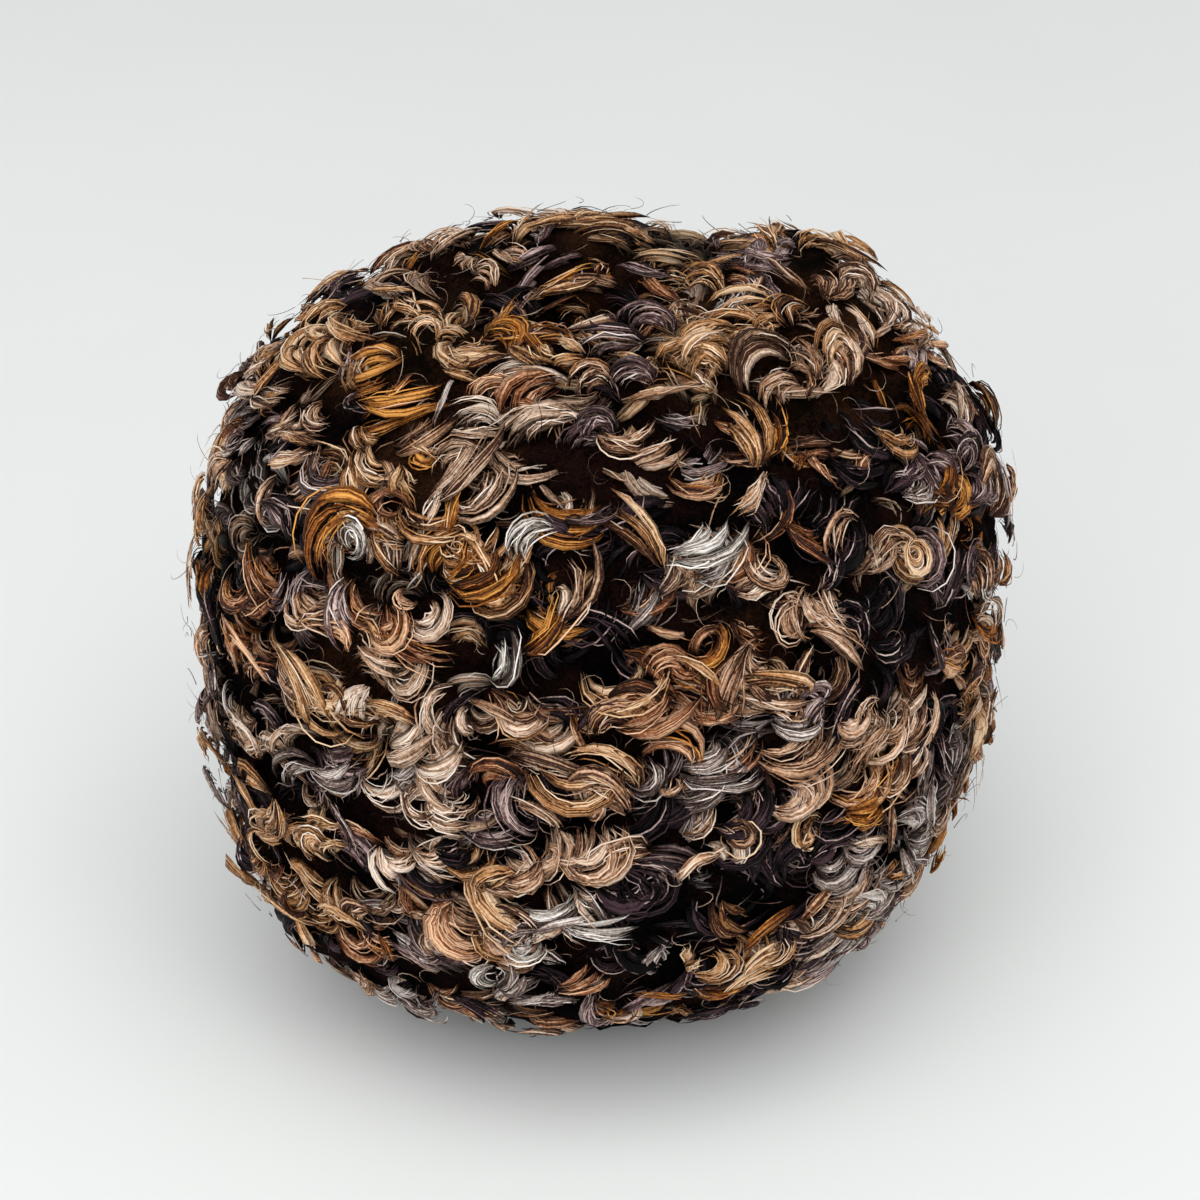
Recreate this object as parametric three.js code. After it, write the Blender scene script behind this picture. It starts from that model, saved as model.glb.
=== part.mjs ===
// A ball of curly yarn, wound on end like a thick ring and standing on its flattened underside.
// It is one length of yarn, so it is one solid: the wound ball with the turns of its outer lays, the
// curls that lie along every turn, and the hollow in the top where the winding leaves the middle open.
// Millimetres, +Z up, the origin under the middle of the ball on the surface that it rests on.
import * as THREE from "three";
import { mergeVertices } from "three/addons/utils/BufferGeometryUtils.js";

// Driving dimensions of the ball, measured over the tips of the curls.
const BALL_WIDTH = 100.5;
const BALL_HEIGHT = 96.3;
const CENTRE_HEIGHT = 49;
// The underside would reach this far below the centre if the floor didn't press it flat.
const FREE_BASE = 51.4;
const FOOT_BLEND = 14;
const PRESSED_RELIEF = 0.25;

// How square the ball's section is: 2 is an ellipse, and more is boxier.
const TOP_SQUARENESS = 2.7;
const BASE_SQUARENESS = 2.4;

// The hollow in the top, where the winding leaves the middle open.
const HOLLOW_RADIUS = 17;
const HOLLOW_DEPTH = 18;

// The relief of the yarn: the furrows between turns, and the curls along each turn.
const FURROW_DEPTH = 2.5;
const CURL_HEIGHT = 3.6;
const CURL_REACH = 2.5;
const CURL_THICKNESS = 3.1;
const CURL_SPACING = 9.6;
const CURL_STRAY = 0.035;
const SURFACE_DETAIL = 22;
const SOFTENING = 0.024;

// The lays of outer turns, each wound round its own leaning axis, the outermost last. tilt is the lean of
// the axis and heading the way it leans, in degrees. from and to are the band that the lay covers, in
// degrees from its axis, pitch is the step from turn to turn in degrees, and lift is the rise in mm.
const LAYS = [
  { tilt: 9, heading: 180, pitch: 11.2, from: 0, to: 180, lift: 0 },
  { tilt: 31, heading: 186, pitch: 10.8, from: 92, to: 136, lift: 0.9 },
  { tilt: 27, heading: 30, pitch: 11, from: 48, to: 80, lift: 0.9 },
];

const CENTRE = new THREE.Vector3(0, 0, CENTRE_HEIGHT);
const SIDEWAYS = new THREE.Vector3(0, 1, 0);
const FULL_TURN = 2 * Math.PI;

// A number from 0 to 1 that is always the same for the same seed.
const chance = (seed) => {
  const wave = Math.sin(seed * 127.1 + 311.7) * 43758.5453;
  return wave - Math.floor(wave);
};

// The distance from the ball's centre to its envelope in a direction, hollow and flat foot left out.
function envelope(direction) {
  const level = Math.hypot(direction.x, direction.y);
  const above = direction.z >= 0;
  const reach = above ? BALL_HEIGHT - CENTRE_HEIGHT : FREE_BASE;
  const power = above ? TOP_SQUARENESS : BASE_SQUARENESS;
  const side = (level / (BALL_WIDTH / 2)) ** power;
  const end = (Math.abs(direction.z) / reach) ** power;
  return (side + end) ** (-1 / power);
}

// How far the hollow in the top draws the surface towards the centre.
function hollow(direction) {
  if (direction.z <= 0) return 0;
  const fromAxis = envelope(direction) * Math.hypot(direction.x, direction.y);
  return HOLLOW_DEPTH * (1 - THREE.MathUtils.smoothstep(fromAxis, 0, HOLLOW_RADIUS));
}

// A lay in radians with its axis, the two directions across the axis, and the curls along its turns.
function setLay(row, index) {
  const [tilt, heading, pitch, from, to] = [row.tilt, row.heading, row.pitch, row.from, row.to].map(
    THREE.MathUtils.degToRad,
  );
  const axis = new THREE.Vector3(
    Math.sin(tilt) * Math.cos(heading),
    Math.sin(tilt) * Math.sin(heading),
    Math.cos(tilt),
  );
  const across = new THREE.Vector3().crossVectors(SIDEWAYS, axis).normalize();
  const along = new THREE.Vector3().crossVectors(axis, across);
  const lay = { axis, across, along, pitch, from, to, lift: row.lift };
  return { ...lay, curls: setCurls(lay, index) };
}

// The direction in which a turn of a lay is met, going round the lay's axis.
function pointOnTurn(lay, turn, round) {
  const lean = lay.from + lay.pitch * (turn + round / FULL_TURN);
  return lay.across
    .clone()
    .multiplyScalar(Math.sin(lean) * Math.cos(round))
    .addScaledVector(lay.along, Math.sin(lean) * Math.sin(round))
    .addScaledVector(lay.axis, Math.cos(lean));
}

// The curls along the turns of a lay. Each is an arc of yarn that lies flat on the ball.
function setCurls(lay, index) {
  const curls = [];
  const turns = Math.round((lay.to - lay.from) / lay.pitch);
  for (let turn = 0; turn <= turns; turn += 1) {
    const girth = FULL_TURN * Math.max(0.06, Math.sin(lay.from + lay.pitch * turn)) * 50;
    const count = Math.round(girth / CURL_SPACING);
    for (let place = 0; place < count; place += 1) {
      const seed = index * 1009 + turn * 97 + place * 7;
      const round = ((place + 0.6 * chance(seed)) / count - 0.5) * FULL_TURN;
      const stray = CURL_STRAY * (chance(seed + 5) - 0.5);
      const direction = pointOnTurn(lay, turn, round).addScaledVector(lay.axis, stray).normalize();
      const facing = new THREE.Vector3().crossVectors(lay.axis, direction).normalize();
      const sideways = new THREE.Vector3().crossVectors(direction, facing);
      const spin = FULL_TURN * chance(seed + 1);
      curls.push({
        direction,
        right: facing.clone().multiplyScalar(Math.cos(spin)).addScaledVector(sideways, Math.sin(spin)),
        up: sideways.clone().multiplyScalar(Math.cos(spin)).addScaledVector(facing, -Math.sin(spin)),
        distance: envelope(direction),
        reach: CURL_REACH * (0.8 + 0.5 * chance(seed + 2)),
        height: CURL_HEIGHT * (0.4 + 0.6 * chance(seed + 3)),
        half: Math.PI * (0.4 + 0.35 * chance(seed + 4)),
      });
    }
  }
  return curls;
}

// How far the curls of a lay raise the surface in a direction.
function curlRelief(direction, curls) {
  return curls.reduce((best, curl) => {
    if (direction.dot(curl.direction) < 0.98) return best;
    const x = direction.dot(curl.right) * curl.distance;
    const y = direction.dot(curl.up) * curl.distance;
    const angle = THREE.MathUtils.clamp(Math.atan2(y, x), -curl.half, curl.half);
    const off = Math.hypot(x - curl.reach * Math.cos(angle), y - curl.reach * Math.sin(angle));
    return Math.max(best, curl.height * Math.max(0, 1 - (off / CURL_THICKNESS) ** 2));
  }, 0);
}

// The relief in one direction: that of the outermost lay there, with a furrow between its turns.
function relief(direction, lays) {
  return lays.reduce((best, lay) => {
    const lean = Math.acos(THREE.MathUtils.clamp(direction.dot(lay.axis), -1, 1));
    const round = Math.atan2(direction.dot(lay.along), direction.dot(lay.across));
    const turn = (lean - lay.from) / lay.pitch - round / FULL_TURN;
    const inside = Math.min(lean - lay.from, lay.to - lean) / lay.pitch;
    const cover = lay.lift === 0 ? 1 : THREE.MathUtils.clamp(inside * 2.5, 0, 1);
    if (cover === 0) return best;
    const crown = 0.5 + 0.5 * Math.cos(FULL_TURN * (turn - Math.round(turn)));
    return Math.max(best, cover * (lay.lift + crown * FURROW_DEPTH + curlRelief(direction, lay.curls)));
  }, 0);
}

// The relief softened over a small patch, so that the curls have round edges.
function softRelief(direction, lays) {
  const right = new THREE.Vector3().crossVectors(SIDEWAYS, direction).normalize();
  const up = new THREE.Vector3().crossVectors(direction, right);
  const around = [0, 1, 2, 3, 4, 5].map((sixth) => {
    const angle = (sixth * Math.PI) / 3;
    const shifted = direction
      .clone()
      .addScaledVector(right, SOFTENING * Math.cos(angle))
      .addScaledVector(up, SOFTENING * Math.sin(angle));
    return relief(shifted.normalize(), lays);
  });
  return 0.34 * relief(direction, lays) + 0.11 * around.reduce((sum, value) => sum + value, 0);
}

// The wound ball: a sphere of even triangles, each corner moved out to the yarn's surface.
function woundBall() {
  const lays = LAYS.map(setLay);
  const highest = FURROW_DEPTH + CURL_HEIGHT * 0.9;
  const even = new THREE.IcosahedronGeometry(1, SURFACE_DETAIL);
  even.deleteAttribute("normal");
  even.deleteAttribute("uv");
  const geometry = mergeVertices(even, 1e-5);
  const place = geometry.getAttribute("position");
  const direction = new THREE.Vector3();
  for (let i = 0; i < place.count; i += 1) {
    direction.fromBufferAttribute(place, i).normalize();
    const full = envelope(direction);
    const height = CENTRE_HEIGHT + full * direction.z;
    const free = THREE.MathUtils.smoothstep(height, -0.5, FOOT_BLEND);
    const loose = THREE.MathUtils.lerp(PRESSED_RELIEF, 1, free);
    const below = Math.max(0, highest - softRelief(direction, lays));
    const point = CENTRE.clone().addScaledVector(direction, full - hollow(direction) - loose * below);
    place.setXYZ(i, point.x, point.y, Math.max(0, point.z));
  }
  geometry.computeVertexNormals();
  return geometry;
}

const yarn = new THREE.MeshStandardMaterial({ color: 0x8a6a4c, roughness: 0.9, metalness: 0 });
const ball = new THREE.Mesh(woundBall(), yarn);
ball.name = "yarn_ball";

const part = new THREE.Group();
part.add(ball);
export default part;
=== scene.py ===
"""The looks of a ball of curly yarn: its wound core, its dyed curls, its frizz and a plain studio.

Lengths in this file are millimetres unless a name says otherwise. Meshes are written in metres.
"""

import logging
import math
from dataclasses import dataclass, field
from enum import Enum

import bmesh
import bpy
import numpy as np
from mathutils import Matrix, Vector

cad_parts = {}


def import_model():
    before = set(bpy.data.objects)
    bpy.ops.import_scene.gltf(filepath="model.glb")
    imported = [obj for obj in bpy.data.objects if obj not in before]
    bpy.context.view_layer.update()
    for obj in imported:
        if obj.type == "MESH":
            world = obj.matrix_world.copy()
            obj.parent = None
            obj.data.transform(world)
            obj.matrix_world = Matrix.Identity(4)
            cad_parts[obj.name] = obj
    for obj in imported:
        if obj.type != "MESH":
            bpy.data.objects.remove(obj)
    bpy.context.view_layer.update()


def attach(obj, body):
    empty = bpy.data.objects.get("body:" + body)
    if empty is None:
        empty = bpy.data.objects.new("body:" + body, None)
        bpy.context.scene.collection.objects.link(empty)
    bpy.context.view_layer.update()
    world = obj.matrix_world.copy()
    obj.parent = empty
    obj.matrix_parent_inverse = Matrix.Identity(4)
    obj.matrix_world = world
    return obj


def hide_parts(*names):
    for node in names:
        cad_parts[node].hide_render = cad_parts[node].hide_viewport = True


logging.basicConfig(level=logging.INFO, format="%(message)s")
LOG = logging.getLogger("curly_yarn")

MM = 0.001
FULL_TURN = 2.0 * math.pi
BODY = "root"
NODE = "yarn_ball"
IMAGE_SIDE = 1200


# The ball's form


@dataclass(frozen=True)
class Lay:
    """One lay of outer turns, wound round its own leaning axis. Angles are in degrees.

    The lay covers the band from start to end, counted from its axis, and lies lift mm over the lay below.
    """

    tilt: float
    heading: float
    pitch: float
    start: float
    end: float
    lift: float

    def axes(self) -> tuple[np.ndarray, np.ndarray, np.ndarray]:
        """Finds how the lay leans.

        Returns:
            The axis of the lay and the two directions across it.
        """
        tilt, heading = math.radians(self.tilt), math.radians(self.heading)
        axis = np.array(
            [math.sin(tilt) * math.cos(heading), math.sin(tilt) * math.sin(heading), math.cos(tilt)]
        )
        across = unit(np.cross([0.0, 1.0, 0.0], axis))
        return axis, across, np.cross(axis, across)

    def place(self, directions: np.ndarray) -> tuple[np.ndarray, np.ndarray]:
        """Finds where directions lie on the lay.

        Args:
            directions: unit directions from the ball's centre, one a row.

        Returns:
            The turn that each is on, and how far it is inside the band, both counted in turns.
        """
        axis, across, along = self.axes()
        lean = np.degrees(np.arccos(np.clip(directions @ axis, -1.0, 1.0)))
        around = np.arctan2(directions @ along, directions @ across) / FULL_TURN
        inside = np.minimum(lean - self.start, self.end - lean) / self.pitch
        return (lean - self.start) / self.pitch - around, inside

    def point(self, turn: np.ndarray, around: np.ndarray) -> np.ndarray:
        """Follows the turns of the lay.

        Args:
            turn: the number of each turn.
            around: the angles around the axis, in radians.

        Returns:
            The directions met there.
        """
        axis, across, along = self.axes()
        lean = np.radians(self.start + self.pitch * (turn + around / FULL_TURN))
        level = np.sin(lean)
        return (
            np.outer(level * np.cos(around), across)
            + np.outer(level * np.sin(around), along)
            + np.outer(np.cos(lean), axis)
        )


@dataclass(frozen=True)
class BallForm:
    """The ball's envelope over the tips of its curls, as the solid has it.

    lay_fade is how fast an upper lay comes in at the edges of its band.
    """

    width: float = 100.5
    height: float = 96.3
    centre_height: float = 49.0
    free_base: float = 51.4
    top_squareness: float = 2.7
    base_squareness: float = 2.4
    hollow_radius: float = 17.0
    hollow_depth: float = 18.0
    furrow_depth: float = 2.5
    lay_fade: float = 2.5
    lays: tuple[Lay, ...] = (
        Lay(tilt=9, heading=180, pitch=11.2, start=0, end=180, lift=0.0),
        Lay(tilt=31, heading=186, pitch=10.8, start=92, end=136, lift=0.9),
        Lay(tilt=27, heading=30, pitch=11.0, start=48, end=80, lift=0.9),
    )

    @property
    def centre(self) -> np.ndarray:
        """The point that directions are counted from."""
        return np.array([0.0, 0.0, self.centre_height])

    def envelope(self, directions: np.ndarray) -> np.ndarray:
        """Measures the envelope, without the hollow.

        Args:
            directions: unit directions from the ball's centre, one a row.

        Returns:
            The distance from the centre to the envelope in each direction.
        """
        level = np.hypot(directions[:, 0], directions[:, 1])
        rise = directions[:, 2]
        above = rise >= 0.0
        reach = np.where(above, self.height - self.centre_height, self.free_base)
        power = np.where(above, self.top_squareness, self.base_squareness)
        side = (level / (self.width / 2.0)) ** power
        end = (np.abs(rise) / reach) ** power
        return (side + end) ** (-1.0 / power)

    def surface(self, directions: np.ndarray) -> np.ndarray:
        """Gives the point of the envelope in each direction, counted from the centre."""
        return directions * self.envelope(directions)[:, None]

    def heights(self, directions: np.ndarray) -> np.ndarray:
        """Gives the envelope's height over the floor in each direction."""
        return self.centre_height + directions[:, 2] * self.envelope(directions)

    def skin(self, directions: np.ndarray) -> np.ndarray:
        """Measures the ball over the tips of the curls, with the hollow in the top.

        Args:
            directions: unit directions from the ball's centre, one a row.

        Returns:
            The distance from the centre in each direction.
        """
        full = self.envelope(directions)
        from_axis = full * np.hypot(directions[:, 0], directions[:, 1])
        part = np.clip(from_axis / self.hollow_radius, 0.0, 1.0)
        sunk = self.hollow_depth * (1.0 - part * part * (3.0 - 2.0 * part))
        return full - np.where(directions[:, 2] > 0.0, sunk, 0.0)

    def rows(self, directions: np.ndarray) -> np.ndarray:
        """Measures the turns, from the bottom of the deepest furrow.

        Args:
            directions: unit directions from the ball's centre, one a row.

        Returns:
            Their height in each direction.
        """
        best = np.zeros(len(directions))
        for lay in self.lays:
            turn, inside = lay.place(directions)
            cover = np.clip(inside * self.lay_fade, 0.0, 1.0) if lay.lift > 0.0 else 1.0
            crown = 0.5 + 0.5 * np.cos(FULL_TURN * (turn - np.round(turn)))
            best = np.maximum(best, cover * (lay.lift + crown * self.furrow_depth))
        return best


# Small helpers


def unit(vectors: np.ndarray) -> np.ndarray:
    """Gives vectors their unit length, along the last axis."""
    vectors = np.asarray(vectors, dtype=float)
    return vectors / np.maximum(np.linalg.norm(vectors, axis=-1, keepdims=True), 1e-12)


def uplift(directions: np.ndarray) -> np.ndarray:
    """Gives how far directions are on the top of the ball, from 0 at its sides to 1."""
    return np.clip((directions[:, 2] - 0.5) / 0.3, 0.0, 1.0)


def walk(heading: np.ndarray, step: np.ndarray) -> tuple[np.ndarray, np.ndarray]:
    """Walks along strands in a plane.

    Args:
        heading: the heading of each step in radians, a row for each strand.
        step: the length of each strand's steps, in a column.

    Returns:
        The x and the y of each strand's points. The first point is at 0.
    """
    start = np.zeros((len(heading), 1))
    x = np.concatenate([start, np.cumsum(step * np.cos(heading), axis=1)], axis=1)
    y = np.concatenate([start, np.cumsum(step * np.sin(heading), axis=1)], axis=1)
    return x, y


def flow(points: np.ndarray, scale: float, seed: int) -> np.ndarray:
    """A smooth field from -1 to 1, as a few waves in seeded directions.

    Args:
        points: where the field is wanted, in mm, one a row.
        scale: the usual length of a wave in mm.
        seed: the seed of the waves.

    Returns:
        The field at each point.
    """
    dice = np.random.default_rng(seed)
    total = np.zeros(len(points))
    for _ in range(5):
        wave = unit(dice.normal(size=3)) * FULL_TURN / (scale * dice.uniform(0.8, 1.5))
        total += np.sin(points @ wave + dice.uniform(0.0, FULL_TURN))
    return np.tanh(total / 1.8)


def linear(colour: str) -> tuple[float, float, float, float]:
    """Turns an sRGB colour to a linear one.

    Args:
        colour: the sRGB hex value, such as "#8A6A4C".

    Returns:
        Linear red, green and blue, and an alpha of 1.
    """
    parts = [int(colour[place : place + 2], 16) / 255.0 for place in (1, 3, 5)]
    line = [part / 12.92 if part <= 0.04045 else ((part + 0.055) / 1.055) ** 2.4 for part in parts]
    return line[0], line[1], line[2], 1.0


def add_node(
    tree: bpy.types.NodeTree,
    kind: str,
    settings: dict[str, object] | None = None,
    inputs: dict[str | int, object] | None = None,
) -> bpy.types.Node:
    """Adds a shader node with its settings, and sets or links its inputs.

    Args:
        tree: the node tree to add to.
        kind: Blender's name for the node's type, without its prefix.
        settings: the node's own properties.
        inputs: by socket name or number, a value, an output socket, or a node for its first output.

    Returns:
        The new node.
    """
    node = tree.nodes.new(f"ShaderNode{kind}")
    for name, value in (settings or {}).items():
        setattr(node, name, value)
    for name, value in (inputs or {}).items():
        if isinstance(value, bpy.types.Node):
            value = value.outputs[0]
        if isinstance(value, bpy.types.NodeSocket):
            tree.links.new(value, node.inputs[name])
        else:
            node.inputs[name].default_value = value
    return node


def colour_ramp(node: bpy.types.Node, stops: tuple[tuple[float, str], ...]) -> None:
    """Sets the stops of a colour ramp.

    Args:
        node: the ramp's node.
        stops: the place and the sRGB hex colour of each stop.
    """
    elements = node.color_ramp.elements
    elements.remove(elements[-1])
    elements[0].position, elements[0].color = stops[0][0], linear(stops[0][1])
    for place, colour in stops[1:]:
        elements.new(place).color = linear(colour)


def new_material(name: str) -> tuple[bpy.types.Material, bpy.types.NodeTree]:
    """Makes a material without nodes.

    Args:
        name: the name of the finish.

    Returns:
        The material and its empty node tree.
    """
    material = bpy.data.materials.new(name)
    material.use_nodes = True
    material.node_tree.nodes.clear()
    return material, material.node_tree


def place_object(name: str, data: bpy.types.ID) -> bpy.types.Object:
    """Makes an object and puts it in the scene.

    Args:
        name: the name of the object.
        data: its mesh, lamp or camera.

    Returns:
        The new object.
    """
    made = bpy.data.objects.new(name, data)
    bpy.context.scene.collection.objects.link(made)
    return made


# Finishes


@dataclass(frozen=True)
class DyedWool:
    """A finish of dyed, curled wool fibre. Colours are sRGB hex values, dark, middle and light.

    Wool is matt and slightly waxy, which gives each strand a soft line of light and keeps the gaps deep.
    sunken is the brightness that is left at the bottom of the furrows, where the colour is darkened as
    painted shade over the darker wool that lies deep.
    """

    name: str
    dark: str
    middle: str
    light: str
    roughness: float = 0.55
    gloss: float = 0.14
    sunken: float = 0.06

    def make(self) -> bpy.types.Material:
        """Makes the material: the shade varies from strand to strand and along each one.

        Returns:
            The new material.
        """
        material, tree = new_material(self.name)
        tone, along, across, depth = (
            add_node(tree, "Attribute", {"attribute_name": name}).outputs["Fac"]
            for name in ("tone", "along", "across", "depth")
        )
        place = add_node(tree, "TexCoord").outputs["Object"]
        # The dye takes unevenly over lengths of 2 mm or so.
        blotch = add_node(tree, "TexNoise", None, {"Vector": place, "Scale": 450.0, "Detail": 2.0})
        uneven = add_node(tree, "Math", {"operation": "MULTIPLY_ADD"}, {0: blotch, 1: 0.9, 2: -0.45})
        lightness = add_node(tree, "Math", {"operation": "ADD"}, {0: tone, 1: uneven})
        # Painted light: the bend of a lock is lighter than its root and its tip, a painted highlight where it
        # faces the light with painted shade at the ends.
        bend = add_node(tree, "Math", {"operation": "MULTIPLY"}, {0: along, 1: math.pi})
        arch = add_node(tree, "Math", {"operation": "SINE"}, {0: bend})
        bend_highlight = add_node(tree, "Math", {"operation": "ADD"}, {0: arch, 1: -0.6})
        level = add_node(tree, "Math", {"operation": "ADD"}, {0: lightness, 1: bend_highlight})
        # Fibres about 0.2 mm wide run along each ply, each of its own shade.
        fibres = add_node(tree, "Math", {"operation": "MULTIPLY"}, {0: across, 1: 0.8})
        drift = add_node(tree, "Math", {"operation": "MULTIPLY"}, {0: along, 1: 1.3})
        own = add_node(tree, "Math", {"operation": "MULTIPLY"}, {0: tone, 1: 57.0})
        course = add_node(tree, "CombineXYZ", None, {"X": fibres, "Y": drift, "Z": own})
        lines = add_node(
            tree, "TexNoise", None, {"Vector": course, "Scale": 1.0, "Detail": 1.0, "Roughness": 0.6}
        )
        line = add_node(
            tree, "MapRange", {"clamp": True},
            {"Value": lines, "From Min": 0.36, "From Max": 0.64, "To Min": -1.15, "To Max": 0.8},
        )
        lined = add_node(tree, "Math", {"operation": "ADD"}, {0: line, 1: level})
        # A fine grain of about 0.4 mm lightens and darkens the strands: painted broken glints on the fibres,
        # with uneven tone.
        grain = add_node(tree, "TexNoise", None, {"Vector": place, "Scale": 2600.0, "Detail": 1.0})
        grain_glints = add_node(tree, "Math", {"operation": "MULTIPLY_ADD"}, {0: grain, 1: 1.8, 2: -0.95})
        toned = add_node(tree, "Math", {"operation": "ADD"}, {0: lined, 1: grain_glints})
        share = add_node(
            tree, "Math", {"operation": "MULTIPLY_ADD", "use_clamp": True}, {0: toned, 1: 0.42, 2: 0.5}
        )
        ramp = add_node(tree, "ValToRGB", None, {"Fac": share})
        colour_ramp(ramp, ((0.0, self.dark), (0.5, self.middle), (1.0, self.light)))
        # Deep in the furrows the colour darkens with depth: partly painted shade, partly the darker wool that
        # lies there.
        sunk = add_node(
            tree, "MapRange", {"interpolation_type": "SMOOTHSTEP"},
            {"Value": depth, "From Min": 1.3, "From Max": 4.8, "To Min": 1.0, "To Max": self.sunken},
        )
        shade_deepened = add_node(tree, "VectorMath", {"operation": "SCALE"}, {0: ramp, "Scale": sunk})
        height = add_node(tree, "Math", {"operation": "ADD"}, {0: line, 1: grain})
        bump = add_node(tree, "Bump", None, {"Strength": 0.6, "Distance": 0.00012, "Height": height})
        surface = add_node(
            tree, "BsdfPrincipled", None,
            {
                "Base Color": shade_deepened, "Roughness": self.roughness, "IOR": 1.54,
                "Specular IOR Level": self.gloss, "Normal": bump,
            },
        )
        add_node(tree, "OutputMaterial", None, {"Surface": surface})
        return material


@dataclass(frozen=True)
class ShadedDarkWool:
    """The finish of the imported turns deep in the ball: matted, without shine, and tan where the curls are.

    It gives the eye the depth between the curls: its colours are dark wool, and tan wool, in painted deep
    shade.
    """

    name: str = "dark_wool_painted_shade"
    dark: str = "#000000"
    light: str = "#200F0B"
    tan_dark: str = "#0A0401"
    tan_light: str = "#362012"

    def make(self) -> bpy.types.Material:
        """Makes the material: short fibres in all directions over uneven dye.

        Returns:
            The new material.
        """
        material, tree = new_material(self.name)
        place = add_node(tree, "TexCoord").outputs["Object"]
        # Fibres bundle at about 0.6 mm.
        fibre = add_node(
            tree, "TexNoise", None, {"Vector": place, "Scale": 1600.0, "Detail": 5.0, "Distortion": 1.6}
        )
        patch = add_node(tree, "TexNoise", None, {"Vector": place, "Scale": 130.0, "Detail": 2.0})
        mixed = add_node(tree, "Math", {"operation": "MULTIPLY"}, {0: fibre, 1: patch})
        # Both ramps are the yarn's colours darkened as painted shade, since the core shows only deep between
        # the curls, over dark wool.
        brown = add_node(tree, "ValToRGB", None, {"Fac": mixed})
        colour_ramp(brown, ((0.18, self.dark), (0.5, self.light)))
        tan = add_node(tree, "ValToRGB", None, {"Fac": mixed})
        colour_ramp(tan, ((0.17, self.tan_dark), (0.4, self.tan_light)))
        pale = add_node(tree, "Attribute", {"attribute_name": "pale"}).outputs["Fac"]
        share = add_node(
            tree, "MapRange", {"interpolation_type": "SMOOTHSTEP"},
            {"Value": pale, "From Min": 0.65, "From Max": 1.0},
        )
        dyed = add_node(tree, "Mix", {"data_type": "RGBA"}, {0: share, 6: brown, 7: tan})
        bump = add_node(tree, "Bump", None, {"Strength": 0.9, "Distance": 0.0004, "Height": fibre})
        surface = add_node(
            tree, "BsdfPrincipled", None,
            {"Base Color": dyed.outputs[2], "Roughness": 0.95, "Specular IOR Level": 0.03, "Normal": bump},
        )
        add_node(tree, "OutputMaterial", None, {"Surface": surface})
        return material


@dataclass(frozen=True)
class PaintedBoard:
    """The finish of the board that the ball stands on.

    Matt paint gives the eye an even, pale ground that takes a soft shadow and mirrors nothing.
    """

    name: str = "pale_matt_board"
    colour: str = "#EEF0EF"
    shaded: str = "#EBEDEC"

    def make(self) -> bpy.types.Material:
        """Makes the material: matt white with a faint unevenness.

        Returns:
            The new material.
        """
        material, tree = new_material(self.name)
        place = add_node(tree, "TexCoord").outputs["Object"]
        cloud = add_node(tree, "TexNoise", None, {"Vector": place, "Scale": 9.0, "Detail": 3.0})
        ramp = add_node(tree, "ValToRGB", None, {"Fac": cloud})
        colour_ramp(ramp, ((0.3, self.shaded), (0.7, self.colour)))
        surface = add_node(
            tree, "BsdfPrincipled", None, {"Base Color": ramp, "Roughness": 0.9, "Specular IOR Level": 0.15}
        )
        add_node(tree, "OutputMaterial", None, {"Surface": surface})
        return material


# Dye


class Shade(Enum):
    """The shades that the yarn is dyed in. Each is a piece of its own."""

    CAMEL = "camel"
    FAWN = "fawn"
    BEIGE = "beige"
    TOFFEE = "toffee"
    HONEY = "honey"
    MAUVE = "mauve"
    TAUPE = "taupe"
    IVORY = "ivory"
    PLUM = "plum"


CAMEL, FAWN, BEIGE, TOFFEE, HONEY, MAUVE, TAUPE, IVORY, PLUM = Shade


@dataclass(frozen=True)
class Dye:
    """How a shade is used in the yarn.

    share is its part of the yarn, and pale how far it lightens the core under it, from 0 to 1. mixed is
    the part of its single strands that take the companion's shade, and sunk how deep its locks lie in mm.
    """

    share: float
    pale: float
    companion: Shade
    finish: DyedWool
    mixed: float = 0.15
    sunk: float = 0.0


DYES: dict[Shade, Dye] = {
    CAMEL: Dye(0.12, 1.0, BEIGE, DyedWool("camel_dyed_wool", "#2E1105", "#BB8350", "#EFD0AC")),
    FAWN: Dye(0.14, 1.0, CAMEL, DyedWool("fawn_dyed_wool", "#2E1108", "#B58663", "#F0D7C1")),
    BEIGE: Dye(0.12, 1.0, FAWN, DyedWool("beige_dyed_wool", "#381C0F", "#C09A7C", "#F5E3D3")),
    TOFFEE: Dye(0.13, 0.5, HONEY, DyedWool("toffee_dyed_wool", "#200904", "#925733", "#EDC09A"), sunk=0.3),
    HONEY: Dye(0.05, 0.6, TOFFEE, DyedWool("honey_dyed_wool", "#200A02", "#904F15", "#E2A050"), mixed=0.25),
    MAUVE: Dye(
        0.15, 0.2, TAUPE, DyedWool("mauve_brown_dyed_wool", "#120507", "#654A48", "#CDB4AE"), sunk=0.4
    ),
    TAUPE: Dye(0.07, 0.4, MAUVE, DyedWool("taupe_dyed_wool", "#200F0D", "#846F66", "#E8DCD4")),
    IVORY: Dye(0.012, 0.5, TAUPE, DyedWool("ivory_undyed_wool", "#3A2C26", "#BAAEA3", "#F9F4EE")),
    PLUM: Dye(
        0.20, 0.0, MAUVE, DyedWool("plum_black_dyed_wool", "#000000", "#0D0508", "#48343A", gloss=0.07),
        mixed=0.4, sunk=1.0,
    ),
}


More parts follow.
